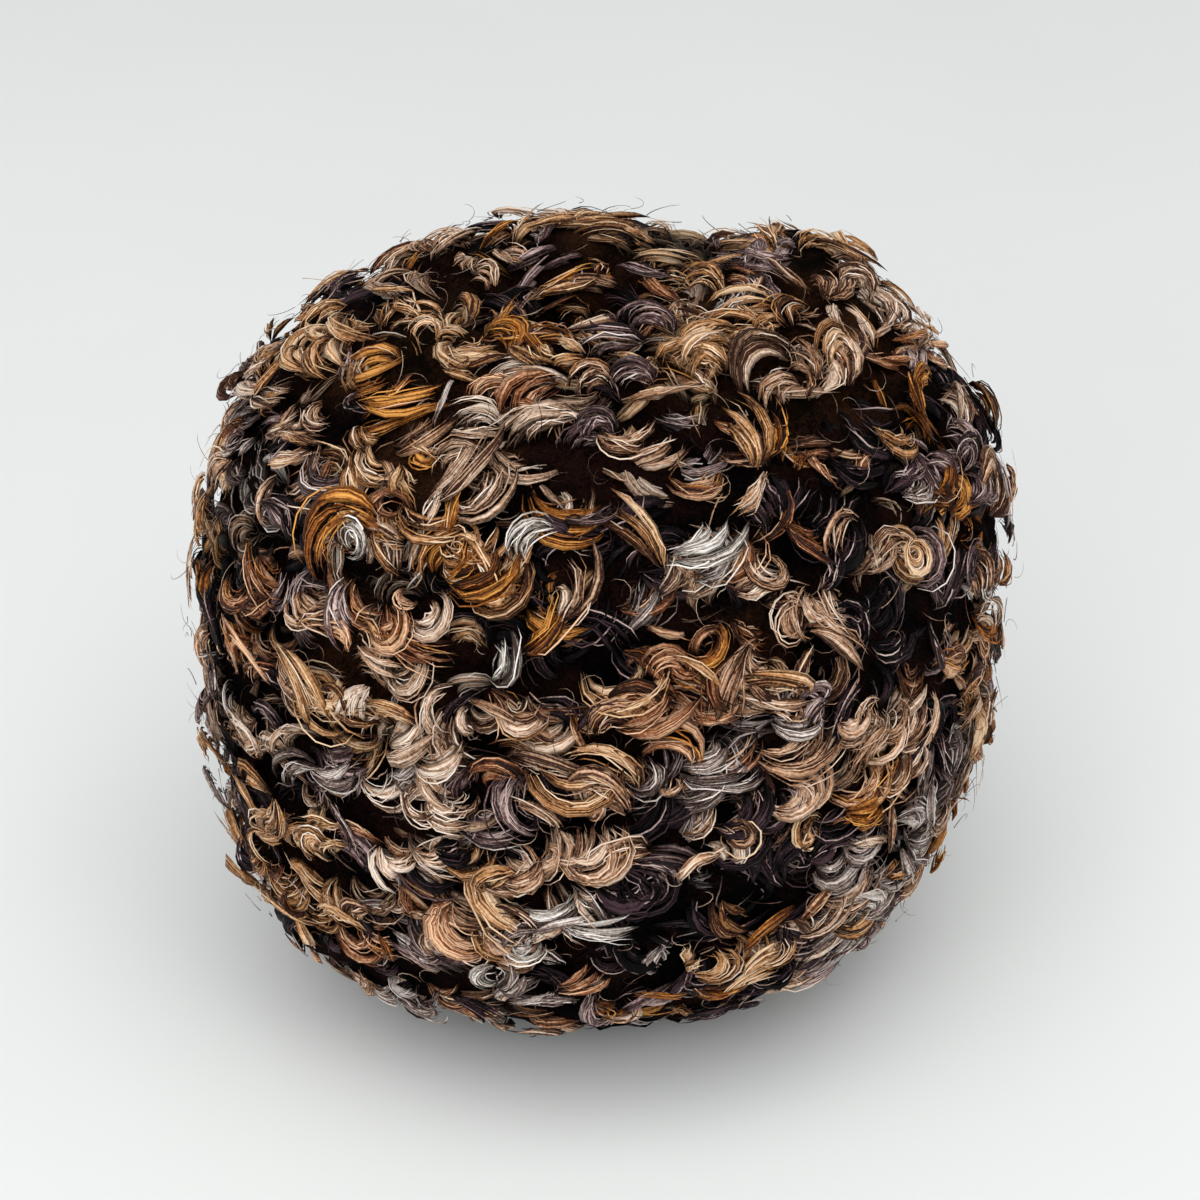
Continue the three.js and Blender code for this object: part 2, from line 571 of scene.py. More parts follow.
@dataclass(frozen=True)
class Viewpoint:
    """Where the photograph was taken from, and what it takes in. scale is its pixels for each mm."""

    elevation: float = 28.0
    distance: float = 470.0
    aim_height: float = 50.8
    scale: float = 8.1
    aim_side: float = 0.4

    @property
    def half_width(self) -> float:
        """Half the width of the view at the ball, in mm."""
        return IMAGE_SIDE / self.scale / 2.0

    def place(self) -> tuple[np.ndarray, np.ndarray, np.ndarray, np.ndarray]:
        """Finds where the camera stands.

        Returns:
            Its position and its directions ahead, right and up.
        """
        elevation = math.radians(self.elevation)
        ahead = np.array([0.0, math.cos(elevation), -math.sin(elevation)])
        right = np.array([1.0, 0.0, 0.0])
        aim = np.array([self.aim_side, 0.0, self.aim_height])
        return aim - self.distance * ahead, ahead, right, np.cross(right, ahead)

    def direction_at(self, x: float, y: float, form: BallForm) -> np.ndarray:
        """Finds what shows at a pixel of the picture, in short steps along its line of sight.

        Args:
            x: the pixel's column.
            y: the pixel's row.
            form: the ball that shows there.

        Returns:
            The direction from the ball's centre of what shows, or of the nearest miss.
        """
        position, ahead, right, up = self.place()
        half = IMAGE_SIDE / 2.0
        tangent = self.half_width / self.distance
        ray = unit(ahead + tangent * ((x - half) / half * right - (y - half) / half * up))
        reach = np.linspace(self.distance - 70.0, self.distance + 70.0, 560)
        points = position + reach[:, None] * ray - form.centre
        size = np.linalg.norm(points, axis=1)
        inside = size < form.skin(points / size[:, None])
        first = int(np.argmax(inside)) if inside.any() else int(np.argmin(size))
        return points[first] / size[first]


@dataclass(frozen=True)
class Spot:
    """A place in the picture in pixels, with its radius in mm."""

    x: float
    y: float
    radius: float

    def nearness(self, points: np.ndarray, form: BallForm, view: Viewpoint) -> np.ndarray:
        """Tells how near points of the ball are to the spot.

        Args:
            points: points of the envelope, counted from the centre, one a row.
            form: the ball.
            view: where the picture was taken from.

        Returns:
            1 at the spot, and less with distance, for each point.
        """
        middle = form.surface(view.direction_at(self.x, self.y, form)[None, :])[0]
        return np.exp(-(np.linalg.norm(points - middle, axis=1) / self.radius) ** 2)


@dataclass(frozen=True)
class DyedStretch(Spot):
    """A stretch of yarn on the shown side that took one shade."""

    shade: Shade
    strength: float


@dataclass(frozen=True)
class Swell(Spot):
    """A rise of the rows on the shown side in mm, or a dip below zero."""

    height: float


@dataclass
class Swells:
    """The rises and dips of the rows on the shown side."""

    form: BallForm
    view: Viewpoint
    places: tuple[Swell, ...]

    def raised(self, directions: np.ndarray) -> np.ndarray:
        """Measures the swells.

        Args:
            directions: unit directions from the ball's centre, one a row.

        Returns:
            The rise of the rows in each direction, in mm.
        """
        points = self.form.surface(directions)
        total = np.zeros(len(points))
        for swell in self.places:
            total += swell.height * swell.nearness(points, self.form, self.view)
        return total


@dataclass
class Dyeing:
    """Chooses the shade of each lock: by stretches on the shown side and by slow changes elsewhere.

    patch is the usual length of a change in mm, and patchiness is how much the shares change.
    """

    form: BallForm
    view: Viewpoint
    stretches: tuple[DyedStretch, ...]
    patch: float = 20.0
    patchiness: float = 1.2
    seed: int = 40

    def weights(self, directions: np.ndarray) -> np.ndarray:
        """Weighs the shades against each other.

        Args:
            directions: unit directions from the ball's centre, one a row.

        Returns:
            The chance of each shade, in their order, with a row for each direction.
        """
        points = self.form.surface(directions)
        shades = list(Shade)
        changes = [
            DYES[shade].share * np.exp(self.patchiness * flow(points, self.patch, self.seed + number))
            for number, shade in enumerate(shades)
        ]
        weights = np.stack(changes, axis=1)
        for stretch in self.stretches:
            near = stretch.nearness(points, self.form, self.view)
            weights[:, shades.index(stretch.shade)] += stretch.strength * near
        return weights / weights.sum(axis=1, keepdims=True)

    def choose(self, directions: np.ndarray, dice: np.random.Generator) -> list[Shade]:
        """Draws a shade for each direction.

        Args:
            directions: unit directions from the ball's centre, one a row.
            dice: the source of chances.

        Returns:
            The shades.
        """
        shades = list(Shade)
        levels = np.cumsum(self.weights(directions), axis=1)
        picks = (dice.random(len(directions))[:, None] > levels).sum(axis=1)
        return [shades[min(pick, len(shades) - 1)] for pick in picks]

    def pale(self, directions: np.ndarray) -> np.ndarray:
        """Gives how pale the yarn is in each direction, from 0 to 1."""
        return self.weights(directions) @ np.array([DYES[shade].pale for shade in Shade])


# Locks


class CurlStyle(Enum):
    """The forms that the locks of the yarn take."""

    CRESCENT = "crescent"
    RINGLET = "ringlet"
    FAN = "fan"
    WAVE = "wave"
    HOOK = "hook"
    TUFT = "tuft"


CRESCENT, RINGLET, FAN, WAVE, HOOK, TUFT = CurlStyle


@dataclass(frozen=True)
class CurlRecipe:
    """How a style of lock is laid out, and its share of the locks. Pairs are the least and the most.

    length is along the middle strand, turning is its whole bend in degrees and tightening the power by
    which the bend gathers towards the tip. The strands spread to half_width, and to thickness times that
    in depth, from root_spread to tip_spread of it at the ends. rise is the lean of the lock's plane off
    the ball, and splay is how far the outer strands turn apart, both in degrees. A lock is a few plies of
    matted fibre with single strands over them.
    """

    share: float
    length: tuple[float, float]
    turning: tuple[float, float]
    tightening: float
    half_width: tuple[float, float]
    thickness: float
    root_spread: float
    tip_spread: float
    strands: tuple[int, int]
    plies: tuple[int, int]
    rise: tuple[float, float]
    splay: float
    points: int


RECIPES: dict[CurlStyle, CurlRecipe] = {
    CRESCENT: CurlRecipe(
        0.47, (6.5, 10.5), (110, 205), 1.0, (1.0, 1.8), 0.55, 0.35, 0.45, (5, 7), (2, 3), (5, 50), 14, 8
    ),
    RINGLET: CurlRecipe(
        0.04, (10.0, 14.0), (300, 400), 1.15, (0.6, 1.0), 0.8, 0.3, 0.25, (4, 6), (2, 2), (5, 50), 12, 12
    ),
    FAN: CurlRecipe(
        0.17, (5.5, 8.5), (60, 130), 1.6, (1.3, 2.2), 0.45, 0.25, 1.0, (6, 8), (3, 3), (5, 50), 36, 6
    ),
    WAVE: CurlRecipe(
        0.08, (6.5, 9.5), (40, 100), 0.8, (0.9, 1.5), 0.55, 0.4, 0.5, (4, 6), (2, 3), (0, 35), 20, 6
    ),
    HOOK: CurlRecipe(
        0.13, (5.0, 8.5), (130, 250), 1.2, (0.3, 0.8), 0.8, 0.6, 0.6, (3, 5), (1, 1), (10, 85), 22, 9
    ),
    TUFT: CurlRecipe(
        0.11, (3.8, 6.5), (40, 160), 1.3, (0.9, 1.5), 0.9, 0.3, 1.2, (7, 9), (2, 2), (20, 80), 90, 5
    ),
}


@dataclass(frozen=True)
class PlacedCurl:
    """A lock of the shown side that stands out, by its place in the picture in pixels.

    heading is the side that its belly is on, in degrees: 0 is down, 90 right and 180 up. top is how far
    it stands over the tips of its neighbours in mm.
    """

    x: float
    y: float
    style: CurlStyle
    shade: Shade
    heading: float
    size: float
    top: float


STRETCHES: tuple[DyedStretch, ...] = tuple(
    DyedStretch(x, y, radius, shade, strength)
    for shade, rows in {
        CAMEL: (
            (770, 345, 10, 3.0), (690, 320, 6, 3.0), (930, 560, 7, 2.5), (350, 330, 9, 4.0),
            (455, 355, 7, 3.5), (390, 388, 7, 6.0), (270, 870, 8, 3.0), (640, 240, 9, 4.0),
            (780, 245, 8, 4.0), (590, 590, 5, 1.5), (330, 700, 7, 3.0), (670, 385, 5, 1.5),
        ),
        FAWN: (
            (560, 780, 8, 3.0), (870, 355, 9, 4.0), (770, 285, 8, 4.0), (600, 255, 5, 4.0),
            (430, 450, 7, 3.0), (800, 390, 7, 3.0), (480, 910, 8, 2.0), (450, 240, 9, 4.0),
            (760, 650, 9, 2.0), (900, 780, 8, 1.5), (810, 740, 6, 3.0), (300, 630, 8, 3.5),
            (555, 385, 6, 1.5),
        ),
        BEIGE: (
            (935, 340, 7, 4.0), (480, 405, 6, 2.5), (850, 290, 7, 3.0), (400, 740, 7, 4.0),
            (460, 460, 5, 3.0), (430, 620, 5, 2.0),
        ),
        TOFFEE: (
            (620, 640, 6, 1.5), (690, 660, 6, 1.5), (770, 480, 6, 2.0), (340, 405, 6, 2.5),
            (900, 310, 5, 3.0),
        ),
        HONEY: (
            (480, 575, 6, 6.0), (545, 625, 4, 5.0), (340, 525, 4.5, 3.0), (520, 235, 4, 1.5),
            (960, 440, 6, 1.2), (380, 405, 5, 0.5),
        ),
        MAUVE: (
            (600, 400, 10, 1.2), (240, 500, 8, 1.5), (960, 500, 8, 1.5),
        ),
        TAUPE: (
            (600, 930, 7, 0.8), (900, 870, 8, 0.9),
        ),
        IVORY: (
            (730, 300, 3, 2.0), (600, 930, 4, 0.5),
        ),
        PLUM: (
            (870, 450, 4.5, 3.0), (820, 550, 6, 1.8), (540, 665, 6.5, 5.0), (645, 600, 6, 3.0),
            (600, 860, 7, 2.5), (650, 960, 6, 2.0), (530, 540, 3.5, 4.0), (330, 425, 4.5, 3.0),
            (365, 265, 6, 5.0), (505, 295, 4, 3.0), (622, 300, 3.5, 3.0), (290, 830, 4.5, 4.0),
            (240, 430, 5, 2.0), (250, 520, 5, 2.0), (620, 470, 5, 2.0), (860, 700, 6, 3.0),
            (790, 900, 6, 3.0), (880, 590, 5, 1.2), (500, 840, 5, 3.0), (420, 880, 5, 2.5),
            (730, 1000, 6, 2.0),
        ),
    }.items()
    for x, y, radius, strength in rows
)


CURLS: tuple[PlacedCurl, ...] = tuple(
    PlacedCurl(*row)
    for row in (
        (348, 530, RINGLET, HONEY, 200, 1.15, 0.9), (352, 540, RINGLET, IVORY, 150, 0.75, 1.1),
        (455, 465, FAN, BEIGE, 70, 1.25, 0.9), (480, 490, CRESCENT, BEIGE, 60, 1.1, 0.7),
        (705, 545, FAN, IVORY, 20, 1.1, 0.9), (720, 560, CRESCENT, IVORY, 60, 0.85, 0.9),
        (545, 625, TUFT, HONEY, 0, 1.1, 0.7), (495, 580, TUFT, HONEY, 0, 1.0, 0.6),
        (465, 560, TUFT, HONEY, 90, 1.0, 0.6), (915, 555, RINGLET, CAMEL, 0, 1.0, 0.8),
        (400, 745, FAN, BEIGE, 40, 1.25, 0.8), (435, 765, CRESCENT, BEIGE, 30, 1.1, 0.6),
        (575, 790, CRESCENT, CAMEL, 10, 1.35, 0.9), (610, 765, CRESCENT, CAMEL, 150, 1.2, 0.8),
        (550, 775, CRESCENT, BEIGE, 165, 1.15, 0.7), (490, 910, FAN, CAMEL, -50, 1.3, 0.8),
        (455, 935, CRESCENT, TOFFEE, -50, 1.2, 0.6), (522, 955, CRESCENT, IVORY, 10, 0.85, 0.9),
        (600, 932, WAVE, IVORY, 0, 0.95, 0.6), (485, 975, HOOK, IVORY, -90, 1.0, 0.9),
        (720, 990, FAN, HONEY, 0, 0.95, 0.6), (990, 625, RINGLET, HONEY, 0, 0.9, 0.9),
        (450, 232, CRESCENT, BEIGE, 170, 1.0, 0.8), (500, 228, CRESCENT, HONEY, 190, 0.9, 0.6),
        (555, 225, CRESCENT, CAMEL, 180, 1.1, 0.9), (665, 240, FAN, CAMEL, 200, 1.1, 0.5),
        (575, 300, TUFT, CAMEL, 0, 1.1, 1.0), (730, 300, TUFT, IVORY, 0, 0.9, 0.8),
        (710, 345, CRESCENT, CAMEL, 200, 1.3, 0.9), (760, 345, CRESCENT, BEIGE, 185, 1.2, 0.8),
        (835, 340, CRESCENT, CAMEL, 170, 1.3, 0.9), (750, 430, WAVE, CAMEL, 90, 1.2, 0.8),
        (528, 535, CRESCENT, IVORY, 230, 0.7, 0.5), (500, 668, CRESCENT, IVORY, 80, 0.8, 0.4),
        (575, 592, FAN, BEIGE, 80, 0.95, 0.7), (628, 695, CRESCENT, CAMEL, 20, 1.3, 0.9),
        (650, 720, FAN, TOFFEE, 30, 1.2, 0.7), (430, 620, CRESCENT, BEIGE, 50, 1.2, 0.8),
        (640, 530, WAVE, CAMEL, 130, 1.0, 0.6), (345, 320, FAN, CAMEL, 10, 1.2, 0.7),
        (300, 355, CRESCENT, CAMEL, 0, 1.2, 0.7), (290, 905, CRESCENT, CAMEL, 170, 1.2, 0.7),
        (250, 870, CRESCENT, CAMEL, 200, 1.2, 0.7), (790, 690, CRESCENT, CAMEL, 160, 1.2, 0.7),
        (860, 900, CRESCENT, BEIGE, 20, 1.0, 0.6), (530, 275, CRESCENT, MAUVE, 200, 1.0, 1.5),
        (520, 300, TUFT, PLUM, 0, 1.1, 2.0), (555, 315, CRESCENT, TOFFEE, 180, 1.0, 2.0),
        (600, 280, TUFT, TOFFEE, 90, 1.1, 3.0), (625, 305, TUFT, PLUM, 0, 1.2, 2.5),
        (650, 320, CRESCENT, MAUVE, 160, 1.0, 1.5), (610, 335, FAN, MAUVE, 180, 1.1, 1.5),
        (570, 345, TUFT, CAMEL, 180, 1.0, 1.5), (560, 305, FAN, CAMEL, 180, 1.1, 2.0),
        (590, 292, FAN, FAWN, 160, 1.0, 2.0), (640, 275, FAN, MAUVE, 180, 1.0, 2.0),
        (660, 290, CRESCENT, TOFFEE, 170, 1.0, 1.5), (530, 262, FAN, MAUVE, 180, 1.0, 1.5),
        (329, 532, CRESCENT, HONEY, 255, 1.35, 1.1), (349, 512, CRESCENT, HONEY, 200, 1.05, 1.0),
        (455, 565, TUFT, HONEY, 60, 1.2, 1.2), (478, 578, FAN, HONEY, 40, 1.2, 1.2),
        (500, 592, TUFT, TOFFEE, 0, 1.1, 1.1), (548, 628, FAN, HONEY, 60, 1.1, 1.1),
    )
)


SWELLS: tuple[Swell, ...] = tuple(
    Swell(*row)
    for row in (
        (555, 225, 13, 1.0), (790, 232, 10, 4.0), (705, 214, 11, -4.5), (850, 290, 12, 2.6),
        (435, 245, 9, -0.9), (330, 300, 9, 0.6), (965, 400, 12, 2.0), (238, 385, 10, 0.8),
        (1003, 540, 12, 1.8), (195, 520, 9, -0.8), (188, 600, 8, 0.7), (955, 830, 11, -1.6),
        (245, 890, 11, 1.6), (310, 975, 12, 3.0), (870, 450, 5, -0.8), (540, 665, 6, -0.9),
        (290, 830, 5, -0.6),
    )
)


@dataclass
class Lock:
    """One lock of curled strands at its place on the ball.

    heading is the side that its belly is on in radians, top how far it stands over the tips of the curls
    in mm, and upright a further lean off the ball in degrees.
    """

    style: CurlStyle
    shade: Shade
    direction: np.ndarray
    heading: float
    size: float
    top: float
    turn_sign: float = 1.0
    upright: float = 0.0


@dataclass
class StrandBatch:
    """Strands with the same number of points: their centre lines, half widths and shading values.

    lines, radius and flat have a row for each strand. flat is the depth of a strand as a part of its
    width, normal is the side that its ridge is on, and ply is the number of fibres drawn over its width.
    """

    lines: np.ndarray
    radius: np.ndarray
    tone: np.ndarray
    flat: np.ndarray
    normal: np.ndarray
    ply: np.ndarray

    def columns(self) -> tuple[np.ndarray, ...]:
        """Gives all the values in their order."""
        return self.lines, self.radius, self.tone, self.flat, self.normal, self.ply

    def part(self, chosen: np.ndarray) -> "StrandBatch":
        """Gives the chosen strands."""
        return StrandBatch(*(column[chosen] for column in self.columns()))


@dataclass
class StrandBasket:
    """Gathers the strands of one shade, grouped by number of points."""

    groups: dict[int, list[tuple[np.ndarray, ...]]] = field(default_factory=dict)

    def add(self, strands: StrandBatch) -> None:
        """Adds strands that have the same number of points."""
        self.groups.setdefault(strands.lines.shape[1], []).append(strands.columns())

    def batches(self) -> list[StrandBatch]:
        """Joins what was gathered into one batch for each number of points."""
        groups = self.groups.values()
        return [StrandBatch(*(np.concatenate(column) for column in zip(*rows))) for rows in groups]


@dataclass
class CurlMaker:
    """Lays out the strands of locks over the ball.

    strand_radius and ply_overlap give the widths of single strands and of plies, strand_depth and
    ply_depth their depths as a part of the width, and strand_sizes and ply_sizes how these vary. reach is
    how far single strands spread, in half widths. crimp is how far a strand waves, and ply_crimp the part
    of it that a ply takes. The strays are parts of the lock's length and turning. A tone is a middle and
    a spread. skin_give and floor_give are how softly strands are pressed back.
    """

    form: BallForm
    strand_radius: float = 0.125
    strand_depth: float = 0.55
    ply_overlap: float = 1.5
    ply_depth: float = 0.5
    fibre_width: float = 0.24
    crimp: float = 0.2
    ply_crimp: float = 0.4
    reach: float = 1.15
    length_stray: float = 0.1
    turning_stray: float = 0.07
    start_stray: float = 0.07
    lock_tone: tuple[float, float] = (0.0, 0.35)
    strand_tone: tuple[float, float] = (0.35, 0.6)
    # The plies are toned darker than the single strands over them: partly painted shade under and between the
    # strands.
    ply_tone: tuple[float, float] = (-0.3, 0.45)
    strand_sizes: tuple[float, float] = (0.75, 1.25)
    ply_sizes: tuple[float, float] = (0.8, 1.25)
    floor_gap: float = 0.25
    floor_give: float = 0.5
    skin_give: float = 0.7

    def frame(self, direction: np.ndarray) -> tuple[np.ndarray, np.ndarray]:
        """Finds how the ball's surface lies in a direction, from two points close by.

        Args:
            direction: the direction from the centre.

        Returns:
            The directions out of and down the surface.
        """
        sideways = np.cross([0.0, 0.0, 1.0], direction)
        if np.linalg.norm(sideways) < 1e-3:
            sideways = np.array([1.0, 0.0, 0.0])
        sideways = unit(sideways)
        slope = 0.02 * np.array([[0.0, 0.0, 0.0], [0.0, 0.0, 1.0], sideways])
        places = self.form.surface(unit(direction + slope))
        out = unit(np.cross(places[2] - places[0], places[1] - places[0]))
        down = unit(np.cross(out, sideways))
        return out, -down if down[2] > 0.0 else down

    def settle(self, points: np.ndarray, slack: float) -> np.ndarray:
        """Keeps points inside the envelope and above the floor, softly.

        Args:
            points: the points of strands, in any shape with x, y and z last.
            slack: how far they may reach past the envelope.

        Returns:
            The points, pressed back where they were outside.
        """
        flat = points.reshape(-1, 3) - self.form.centre
        reach = np.linalg.norm(flat, axis=1)
        directions = flat / np.maximum(reach, 1e-9)[:, None]
        skin = self.form.envelope(directions) + slack
        over = (reach - skin) / self.skin_give
        near = np.where(over > 20.0, 0.0, np.log1p(np.exp(-np.clip(over, -30.0, 20.0))))
        reach = np.where(over > -6.0, skin - self.skin_give * near, reach)
        placed = directions * reach[:, None] + self.form.centre
        low = (placed[:, 2] - self.floor_gap) / self.floor_give
        raised = self.floor_gap + self.floor_give * np.log1p(np.exp(np.clip(low, -30.0, 30.0)))
        placed[:, 2] = np.where(low < 8.0, raised, placed[:, 2])
        return placed.reshape(points.shape)

    def lay(self, lock: Lock, dice: np.random.Generator, baskets: dict[Shade, StrandBasket]) -> None:
        """Adds the plies of a lock, and the single strands over them, to the baskets of their shades.

        Args:
            lock: the lock to lay.
            dice: the source of its chances.
            baskets: what is gathered of each shade.
        """
        basket = baskets[lock.shade]
        recipe = RECIPES[lock.style]
        out, down = self.frame(lock.direction)
        length = lock.size * dice.uniform(*recipe.length)
        turning = math.radians(dice.uniform(*recipe.turning)) * lock.turn_sign
        half_width = lock.size * dice.uniform(*recipe.half_width)
        strands = int(dice.integers(recipe.strands[0], recipe.strands[1] + 1))
        plies = int(dice.integers(recipe.plies[0], recipe.plies[1] + 1))
        count = strands + plies
        # The lock's plane leans off the ball about its chord.
        rise = math.radians(min(90.0, dice.uniform(*recipe.rise) + lock.upright))
        belly = math.cos(lock.heading) * down + math.sin(lock.heading) * unit(np.cross(out, down))
        chord = np.cross(out, belly)
        lifted = math.cos(rise) * belly + math.sin(rise) * out
        depth = np.cross(chord, -lifted)
        if np.dot(depth, out) < 0.0:
            depth = -depth
        # Each strand has its place over the lock's width and depth. The plies lie side by side.
        seat = 1.0 - 1.0 / plies
        loose = dice.uniform(-self.reach, self.reach, strands)
        spread = np.concatenate([loose, np.linspace(-seat, seat, plies)])
        spread += dice.uniform(-0.08, 0.08, count)
        level = 0.6 * np.sqrt(np.clip(1.0 - spread**2, 0.0, 1.0))
        level[:strands] += dice.uniform(0.1, 0.7, strands)
        level[strands:] += dice.uniform(-0.3, 0.3, plies)
        # Its course in the plane starts a little early or late and bends by its own amount.
        own_length = length * dice.normal(1.0, self.length_stray, count)
        own_turning = turning * dice.normal(1.0, self.turning_stray, count)
        own_turning = own_turning + math.radians(recipe.splay) * spread
        late = dice.uniform(-self.start_stray, self.start_stray, count) * length
        part = np.linspace(0.0, 1.0, recipe.points)
        middle = (part[1:] + part[:-1]) / 2.0
        begin = -turning * 0.5**recipe.tightening
        heading = begin + own_turning[:, None] * middle[None, :] ** recipe.tightening
        x, y = walk(heading, own_length[:, None] / (recipe.points - 1))
        x += (late * math.cos(begin))[:, None]
        y += (late * math.sin(begin))[:, None]
        facing = begin + own_turning[:, None] * part[None, :] ** recipe.tightening
        # The lock is gathered at its ends and opens in its bend.
        root = dice.uniform(0.6, 1.8) * recipe.root_spread * (1.0 - part)
        ends = root + dice.uniform(0.4, 1.8) * recipe.tip_spread * part
        opening = ends + (1.0 - np.minimum(ends, 1.0)) * np.sin(math.pi * part) ** 0.75
        waves = part[None, :] * dice.uniform(4.0, 13.0, (count, 1)) + dice.uniform(0.0, FULL_TURN, (count, 1))
        crimp = self.crimp * np.sin(waves)
        crimp[strands:] *= self.ply_crimp
        off = half_width * spread[:, None] * opening + crimp
        lean = half_width * recipe.thickness * level[:, None] * opening + crimp
        x = x - np.sin(facing) * off
        y = y + np.cos(facing) * off
        x -= x.mean()
        y -= y.mean()
        local = x[..., None] * chord - y[..., None] * lifted + lean[..., None] * depth
        height = float((local @ out).max())
        site = self.form.centre + lock.direction * self.form.skin(lock.direction[None, :])[0]
        lines = site + local + out * (lock.top - height)
        lines = self.settle(lines, slack=min(max(0.0, lock.top + 0.4), 0.12 * max(0.0, site[2] - 3.0)))
        # Some single strands take the shade that is spun in with the lock's own.
        shared = dice.normal(*self.lock_tone)
        taper = 0.3 + 0.7 * np.sin(math.pi * np.clip(part * 0.9 + 0.08, 0.0, 1.0)) ** 0.6
        thin = self.strand_radius * dice.uniform(*self.strand_sizes, strands)[:, None] * taper
        tone = np.clip(shared + dice.normal(*self.strand_tone, strands), -1.3, 1.4)
        normals = unit(out + dice.normal(0.0, 0.4, (strands, 3)))
        flat = np.full_like(thin, self.strand_depth)
        singles = StrandBatch(lines[:strands], thin, tone, flat, normals, np.full(strands, 0.5))
        dye = DYES[lock.shade]
        other = dice.random(strands) < dye.mixed
        basket.add(singles.part(~other))
        baskets[dye.companion].add(singles.part(other))
        # Plies are broad and flat, and wide enough to lie over each other's edges.
        swell = np.clip(opening, 0.1, 1.0) * np.sin(math.pi * np.clip(part * 0.9 + 0.06, 0.0, 1.0)) ** 0.65
        broad = half_width / plies * self.ply_overlap * dice.uniform(*self.ply_sizes, plies)[:, None] * swell
        # Their darker tone is partly painted shade under and between the single strands.
        tone = np.clip(shared + dice.normal(*self.ply_tone, plies), -1.3, 1.2)
        normals = unit(out + 0.5 * depth + dice.normal(0.0, 0.25, (plies, 3)))
        fibres = np.ceil(2.0 * half_width / plies * self.ply_overlap / self.fibre_width)
        flat = np.full_like(broad, self.ply_depth)
        basket.add(StrandBatch(lines[strands:], broad, tone, flat, normals, np.full(plies, fibres)))


# Meshes of strands


@dataclass(frozen=True)
class TubePattern:
    """The faces of one tapering tube: rings of corners, a small cap at the root and a point at the tip.

    steps is the number of points along it, the last one its tip, and sides the corners in a ring. margin
    is the part of its square in the map that stays free on each side.
    """

    steps: int
    sides: int = 3
    margin: float = 0.07

    @property
    def corners(self) -> int:
        """The number of corners of the tube."""
        return (self.steps - 1) * self.sides + 1

    def rings(self, batch: StrandBatch) -> tuple[np.ndarray, np.ndarray]:
        """Places the corners of each strand's tube.

        Args:
            batch: the strands.

        Returns:
            The corners, strand by strand, and how far each corner is over the tube's width, from -1 to 1.
        """
        tangent = unit(np.gradient(batch.lines, axis=1))
        side = unit(np.cross(tangent, batch.normal[:, None, :]))
        lift = np.cross(side, tangent)
        angle = FULL_TURN * (np.arange(self.sides) / self.sides + 0.25)
        wide = np.cos(angle)[None, None, :, None] * side[:, :, None, :]
        deep = (batch.flat[:, :, None] * np.sin(angle)[None, None, :])[..., None] * lift[:, :, None, :]
        rings = (batch.lines[:, :, None, :] + batch.radius[:, :, None, None] * (wide + deep))[:, :-1]
        rings = rings.reshape(len(batch.lines), -1, 3)
        over = np.append(np.tile(np.cos(angle), self.steps - 1), 0.0)
        return np.concatenate([rings, batch.lines[:, -1][:, None, :]], axis=1).reshape(-1, 3), over

    def faces(self) -> tuple[np.ndarray, np.ndarray]:
        """Numbers the corners of the faces.

        Returns:
            Those of the four-sided faces, and of the triangles of tip and cap.
        """
        corner = np.arange(self.sides)
        following = (corner + 1) % self.sides
        ring = np.arange(self.steps - 2)[:, None] * self.sides
        ahead = ring + self.sides
        quads = np.stack([ring + corner, ring + following, ahead + following, ahead + corner], axis=-1)
        last = (self.steps - 2) * self.sides
        tip = np.stack([last + corner, last + following, np.full(self.sides, self.corners - 1)], axis=-1)
        cap = np.array([[0, place + 1, place] for place in range(1, self.sides - 1)])
        return quads.reshape(-1, 4), np.concatenate([tip, cap])

    def maps(self) -> tuple[np.ndarray, np.ndarray]:
        """Lays the faces out in the tube's square, its sides next to each other.

        Returns:
            The places of the corners of the four-sided faces, and of the triangles.
        """
        corner = np.arange(self.sides)
        across = np.stack([corner, corner + 1, corner + 1, corner], axis=-1) / self.sides
        level = np.arange(self.steps - 2)[:, None, None] / (self.steps - 1)
        rise = level + np.array([0, 0, 1, 1]) / (self.steps - 1) + np.zeros((1, self.sides, 1))
        quads = np.stack([np.broadcast_to(across, rise.shape), rise], axis=-1).reshape(-1, 4, 2)
        end = (self.steps - 2) / (self.steps - 1)
        tip = np.stack(
            [
                np.stack([corner, corner + 1, corner + 0.5], axis=-1) / self.sides,
                np.tile([end, end, 1.0], (self.sides, 1)),
            ],
            axis=-1,
        )
        cap = np.tile(np.array([[[0.0, 0.0], [0.4, 0.0], [0.2, 0.02]]]), (self.sides - 2, 1, 1))
        inner = 1.0 - 2.0 * self.margin
        return self.margin + inner * quads, self.margin + inner * np.concatenate([tip, cap])


